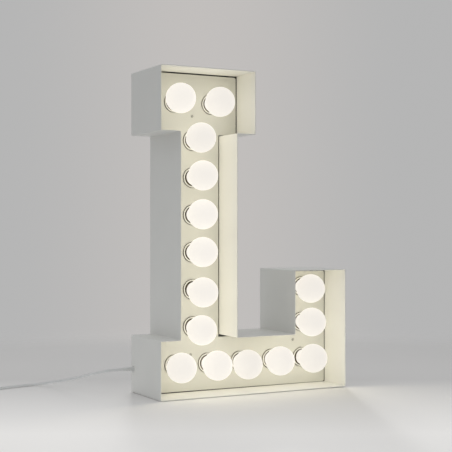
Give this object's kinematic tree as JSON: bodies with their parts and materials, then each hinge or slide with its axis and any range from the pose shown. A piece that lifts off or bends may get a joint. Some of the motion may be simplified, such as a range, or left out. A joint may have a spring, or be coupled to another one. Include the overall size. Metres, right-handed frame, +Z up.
{
  "type": "light-up letter",
  "caption": "Free-standing light-up letter: an open sheet-metal case with a recessed panel of screw-in globe bulbs, a mains lead, an inline switch and a plug.",
  "frame": {"origin": "on the floor under the middle of the case's box", "axes": "+Z up, the open front faces -Y, +X to the right as seen from the front"},
  "size_m": [0.8543, 0.324, 0.65],
  "materials": {
    "case_paint": "satin white powder coat",
    "panel_paint": "satin warm white powder coat",
    "opal_glass": "opal white, lit from inside",
    "cap_metal": "bright rolled shell",
    "holder_plastic": "white thermoset",
    "brass": "bright",
    "zinc_steel": "zinc plated",
    "dark_screw": "black oxide",
    "loom_plastic": "insulation",
    "lead_plastic": "white flexible sheath",
    "tie_strap": "black strap",
    "switch_plastic": "moulded white",
    "rocker_plastic": "moulded dark",
    "pin_metal": "nickel plated",
    "pad_felt": "dark felt"
  },
  "bodies": {
    "letter": {"case_bar_left": "case_paint", "case_stem_left": "case_paint", "case_crown": "case_paint", "case_serif_right": "case_paint", "case_stem_right": "case_paint", "case_riser": "case_paint", "case_base": "case_paint", "case_pads": "pad_felt", "rear_frame": "zinc_steel", "back_plate": "case_paint", "back_plate_screws": "zinc_steel", "lamp_panel": "panel_paint", "panel_pillars": "zinc_steel", "panel_screws": "dark_screw", "lamp_rails": "zinc_steel", "lampholders": "holder_plastic", "lampholder_brass": "brass", "lamp_loom": "loom_plastic", "terminal_block": "loom_plastic", "earth_stud": "brass", "cord_gland": "lead_plastic", "cord_tail": "lead_plastic", "cord_lead": "lead_plastic", "cord_coil": "lead_plastic", "coil_tie": "tie_strap", "switch_base": "switch_plastic", "switch_cover": "switch_plastic", "plug_body": "switch_plastic", "plug_pins": "pin_metal"},
    "bulb_01": {"bulb_01_globe": "opal_glass", "bulb_01_cap": "cap_metal"},
    "bulb_02": {"bulb_02_globe": "opal_glass", "bulb_02_cap": "cap_metal"},
    "bulb_03": {"bulb_03_globe": "opal_glass", "bulb_03_cap": "cap_metal"},
    "bulb_04": {"bulb_04_globe": "opal_glass", "bulb_04_cap": "cap_metal"},
    "bulb_05": {"bulb_05_globe": "opal_glass", "bulb_05_cap": "cap_metal"},
    "bulb_06": {"bulb_06_globe": "opal_glass", "bulb_06_cap": "cap_metal"},
    "bulb_07": {"bulb_07_globe": "opal_glass", "bulb_07_cap": "cap_metal"},
    "bulb_08": {"bulb_08_globe": "opal_glass", "bulb_08_cap": "cap_metal"},
    "bulb_09": {"bulb_09_globe": "opal_glass", "bulb_09_cap": "cap_metal"},
    "bulb_10": {"bulb_10_globe": "opal_glass", "bulb_10_cap": "cap_metal"},
    "bulb_11": {"bulb_11_globe": "opal_glass", "bulb_11_cap": "cap_metal"},
    "bulb_12": {"bulb_12_globe": "opal_glass", "bulb_12_cap": "cap_metal"},
    "bulb_13": {"bulb_13_globe": "opal_glass", "bulb_13_cap": "cap_metal"},
    "bulb_14": {"bulb_14_globe": "opal_glass", "bulb_14_cap": "cap_metal"},
    "bulb_15": {"bulb_15_globe": "opal_glass", "bulb_15_cap": "cap_metal"},
    "rocker": {"switch_rocker": "rocker_plastic"}
  },
  "joints": [
    {"name": "bulb_01_screw", "type": "hinge", "parent": "letter", "child": "bulb_01", "pos_m": [-0.14975, 0.003, 0.5875], "axis": [0, -1, 0], "range_deg": [0, 1080]},
    {"name": "bulb_02_screw", "type": "hinge", "parent": "letter", "child": "bulb_02", "pos_m": [-0.06625, 0.003, 0.5875], "axis": [0, -1, 0], "range_deg": [0, 1080]},
    {"name": "bulb_03_screw", "type": "hinge", "parent": "letter", "child": "bulb_03", "pos_m": [-0.108, 0.003, 0.512], "axis": [0, -1, 0], "range_deg": [0, 1080]},
    {"name": "bulb_04_screw", "type": "hinge", "parent": "letter", "child": "bulb_04", "pos_m": [-0.108, 0.003, 0.4365], "axis": [0, -1, 0], "range_deg": [0, 1080]},
    {"name": "bulb_05_screw", "type": "hinge", "parent": "letter", "child": "bulb_05", "pos_m": [-0.108, 0.003, 0.361], "axis": [0, -1, 0], "range_deg": [0, 1080]},
    {"name": "bulb_06_screw", "type": "hinge", "parent": "letter", "child": "bulb_06", "pos_m": [-0.108, 0.003, 0.2855], "axis": [0, -1, 0], "range_deg": [0, 1080]},
    {"name": "bulb_07_screw", "type": "hinge", "parent": "letter", "child": "bulb_07", "pos_m": [-0.108, 0.003, 0.21], "axis": [0, -1, 0], "range_deg": [0, 1080]},
    {"name": "bulb_08_screw", "type": "hinge", "parent": "letter", "child": "bulb_08", "pos_m": [-0.108, 0.003, 0.1345], "axis": [0, -1, 0], "range_deg": [0, 1080]},
    {"name": "bulb_09_screw", "type": "hinge", "parent": "letter", "child": "bulb_09", "pos_m": [-0.149, 0.003, 0.059], "axis": [0, -1, 0], "range_deg": [0, 1080]},
    {"name": "bulb_10_screw", "type": "hinge", "parent": "letter", "child": "bulb_10", "pos_m": [-0.074, 0.003, 0.059], "axis": [0, -1, 0], "range_deg": [0, 1080]},
    {"name": "bulb_11_screw", "type": "hinge", "parent": "letter", "child": "bulb_11", "pos_m": [0.001, 0.003, 0.059], "axis": [0, -1, 0], "range_deg": [0, 1080]},
    {"name": "bulb_12_screw", "type": "hinge", "parent": "letter", "child": "bulb_12", "pos_m": [0.076, 0.003, 0.059], "axis": [0, -1, 0], "range_deg": [0, 1080]},
    {"name": "bulb_13_screw", "type": "hinge", "parent": "letter", "child": "bulb_13", "pos_m": [0.151, 0.003, 0.059], "axis": [0, -1, 0], "range_deg": [0, 1080]},
    {"name": "bulb_14_screw", "type": "hinge", "parent": "letter", "child": "bulb_14", "pos_m": [0.151, 0.003, 0.2102], "axis": [0, -1, 0], "range_deg": [0, 1080]},
    {"name": "bulb_15_screw", "type": "hinge", "parent": "letter", "child": "bulb_15", "pos_m": [0.151, 0.003, 0.1346], "axis": [0, -1, 0], "range_deg": [0, 1080]},
    {"name": "rocker_tip", "type": "hinge", "parent": "letter", "child": "rocker", "pos_m": [-0.53, 0.222, 0.0134], "axis": [0, -1, 0], "range_deg": [0, 14]}
  ]
}
